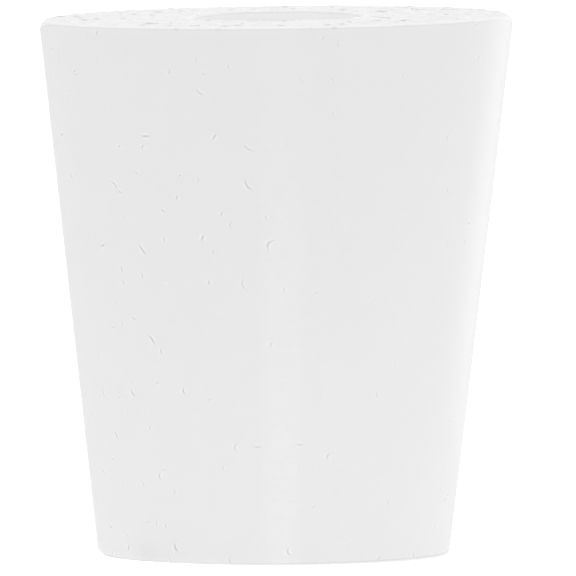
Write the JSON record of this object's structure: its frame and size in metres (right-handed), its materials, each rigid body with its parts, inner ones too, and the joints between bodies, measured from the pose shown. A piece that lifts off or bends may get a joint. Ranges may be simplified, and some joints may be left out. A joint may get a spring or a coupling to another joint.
{
  "type": "one-hole tapered laboratory stopper",
  "caption": "Tapered white silicone stopper with a straight through bore; seals a filter flask's neck and grips a funnel stem.",
  "frame": {"origin": "centre of the small end face, on its surface", "axes": "+Z along the stopper's axis, from the small end to the large end"},
  "size_m": [0.024, 0.024, 0.0273],
  "materials": {
    "silicone": "white translucent silicone rubber, matte moulded surface"
  },
  "bodies": {
    "root": {"stopper_body": "silicone"}
  },
  "joints": []
}
